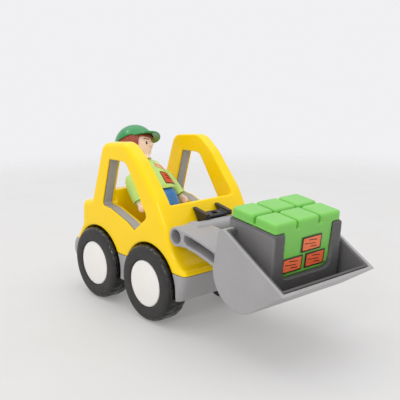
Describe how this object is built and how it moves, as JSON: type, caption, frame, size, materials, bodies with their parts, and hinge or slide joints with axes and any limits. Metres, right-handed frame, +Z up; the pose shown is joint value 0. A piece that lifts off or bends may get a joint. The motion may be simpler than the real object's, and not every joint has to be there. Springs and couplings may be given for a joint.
{
  "type": "toy wheel loader",
  "caption": "Toddler toy wheel loader with open cab, lifting scoop on a clip-on tube hinge, removable leaning driver in a cap and a removable block load in the scoop.",
  "frame": {"origin": "on the ground, at the middle of the overall length and on the centre plane", "axes": "+X forwards to the scoop, +Y to the driver's left, +Z up"},
  "size_m": [0.1776, 0.067, 0.099],
  "materials": {
    "body_shell": "glossy moulded plastic",
    "window_liner_left": "satin moulded plastic",
    "window_liner_right": "satin moulded plastic",
    "chassis": "satin moulded plastic",
    "hinge_bracket": "satin moulded plastic",
    "chassis_screw_1": "plain steel",
    "chassis_screw_2": "plain steel",
    "chassis_screw_3": "plain steel",
    "chassis_screw_4": "plain steel",
    "axle_front": "plain steel",
    "hub_front_left": "glossy moulded plastic",
    "hub_front_right": "glossy moulded plastic",
    "tyre_front_left": "soft black plastic, polished tread",
    "tyre_front_right": "soft black plastic, polished tread",
    "axle_rear": "plain steel",
    "hub_rear_left": "glossy moulded plastic",
    "hub_rear_right": "glossy moulded plastic",
    "tyre_rear_left": "soft black plastic, polished tread",
    "tyre_rear_right": "soft black plastic, polished tread",
    "loader_scoop": "satin moulded plastic",
    "scoop_insert": "satin moulded plastic",
    "brick_load": "glossy moulded plastic",
    "brick_label_1": "printed",
    "brick_label_2": "printed",
    "brick_label_3": "printed",
    "driver_torso": "satin moulded plastic",
    "driver_vest_print": "printed",
    "driver_legs": "satin moulded plastic",
    "driver_arm_left": "satin moulded plastic",
    "driver_hand_left": "satin moulded plastic",
    "driver_arm_right": "satin moulded plastic",
    "driver_hand_right": "satin moulded plastic",
    "driver_head": "satin moulded plastic",
    "driver_hair": "satin moulded plastic",
    "driver_cap": "glossy moulded plastic"
  },
  "bodies": {
    "vehicle": {"body_shell": "body_shell", "window_liner_left": "window_liner_left", "window_liner_right": "window_liner_right", "chassis": "chassis", "hinge_bracket": "hinge_bracket", "chassis_screw_1": "chassis_screw_1", "chassis_screw_2": "chassis_screw_2", "chassis_screw_3": "chassis_screw_3", "chassis_screw_4": "chassis_screw_4"},
    "front_wheels": {"axle_front": "axle_front", "hub_front_left": "hub_front_left", "hub_front_right": "hub_front_right", "tyre_front_left": "tyre_front_left", "tyre_front_right": "tyre_front_right"},
    "rear_wheels": {"axle_rear": "axle_rear", "hub_rear_left": "hub_rear_left", "hub_rear_right": "hub_rear_right", "tyre_rear_left": "tyre_rear_left", "tyre_rear_right": "tyre_rear_right"},
    "loader": {"loader_scoop": "loader_scoop", "scoop_insert": "scoop_insert"},
    "load": {"brick_load": "brick_load", "brick_label_1": "brick_label_1", "brick_label_2": "brick_label_2", "brick_label_3": "brick_label_3"},
    "driver": {"driver_torso": "driver_torso", "driver_vest_print": "driver_vest_print"},
    "driver_head_group": {"driver_head": "driver_head", "driver_hair": "driver_hair", "driver_cap": "driver_cap"},
    "driver_left_arm": {"driver_arm_left": "driver_arm_left", "driver_hand_left": "driver_hand_left"},
    "driver_right_arm": {"driver_arm_right": "driver_arm_right", "driver_hand_right": "driver_hand_right"},
    "driver_lower": {"driver_legs": "driver_legs"}
  },
  "joints": [
    {"name": "front_wheel_spin", "type": "hinge", "parent": "vehicle", "child": "front_wheels", "pos_m": [-0.01045, 0, 0.021], "axis": [0, 1, 0], "continuous": true},
    {"name": "rear_wheel_spin", "type": "hinge", "parent": "vehicle", "child": "rear_wheels", "pos_m": [-0.05955, 0, 0.021], "axis": [0, 1, 0], "continuous": true},
    {"name": "loader_lift", "type": "hinge", "parent": "vehicle", "child": "loader", "pos_m": [0.0129, 0, 0.0511], "axis": [0, -1, 0], "range_deg": [-30, 50]},
    {"name": "load_lift_out", "type": "slide", "parent": "loader", "child": "load", "axis": [0.1305, 0, 0.9914], "range_m": [0, 0.03]},
    {"name": "driver_lift_out", "type": "slide", "parent": "vehicle", "child": "driver", "axis": [0, 0, 1], "range_m": [0, 0.04]},
    {"name": "head_turn", "type": "hinge", "parent": "driver", "child": "driver_head_group", "pos_m": [-0.05306, 0, 0.07862], "axis": [-0.6561, 0, 0.7547], "range_deg": [-120, 40]},
    {"name": "left_arm_swing", "type": "hinge", "parent": "driver", "child": "driver_left_arm", "pos_m": [-0.04971, 0.0126, 0.06868], "axis": [0, -1, 0], "range_deg": [-20, 100]},
    {"name": "right_arm_swing", "type": "hinge", "parent": "driver", "child": "driver_right_arm", "pos_m": [-0.04971, -0.0126, 0.06868], "axis": [0, -1, 0], "range_deg": [-20, 100]},
    {"name": "legs_swing", "type": "hinge", "parent": "driver", "child": "driver_lower", "pos_m": [-0.036, 0, 0.059], "axis": [0, -1, 0], "range_deg": [0, 40]}
  ]
}
